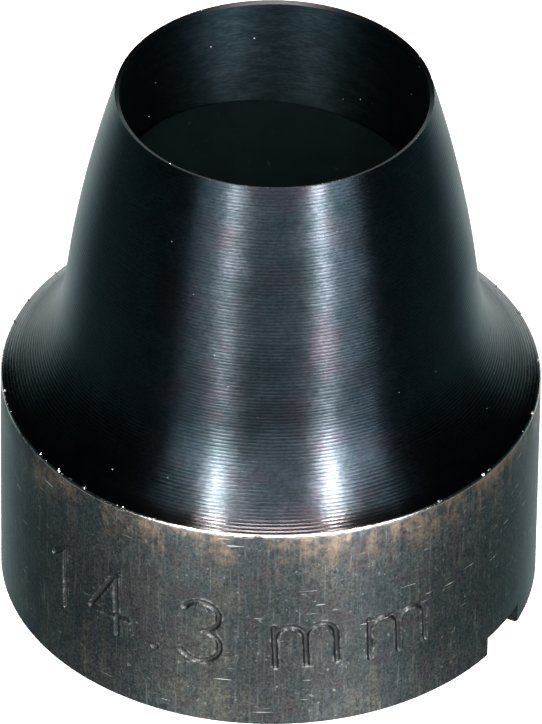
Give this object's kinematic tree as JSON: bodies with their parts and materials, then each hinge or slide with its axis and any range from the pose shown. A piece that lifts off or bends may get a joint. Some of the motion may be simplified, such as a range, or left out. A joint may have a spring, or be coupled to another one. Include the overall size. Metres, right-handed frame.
{
  "type": "drive hole punch head",
  "caption": "Round hollow punch head with a sharp rim, a tapered nose, a filleted base with a keyway and a sprung ejector in its bore.",
  "frame": {"origin": "centre of the base's underside, on the punch axis", "axes": "+Z along the punch axis towards the cutting edge, +X along the keyway in the base's underside"},
  "size_m": [0.0246, 0.0246, 0.0264],
  "materials": {
    "blackened_steel": "hardened, turned, black oxide",
    "ring_steel": "phosphated spring steel",
    "ejector_steel": "turned steel, lightly oiled",
    "black_rubber": "matte, slightly dusty",
    "spring_steel": "drawn wire"
  },
  "bodies": {
    "punch": {"punch_body": "blackened_steel", "retaining_ring": "ring_steel", "ejector_spring": "spring_steel"},
    "ejector": {"ejector_plunger": "ejector_steel", "ejector_pad": "black_rubber"}
  },
  "joints": [
    {"name": "ejector_slide", "type": "slide", "parent": "punch", "child": "ejector", "axis": [0, 0, 1], "range_m": [0, 0.0047], "stiffness_N_per_m": 450, "springref_m": -0.002, "deforming": ["ejector_spring"]}
  ]
}
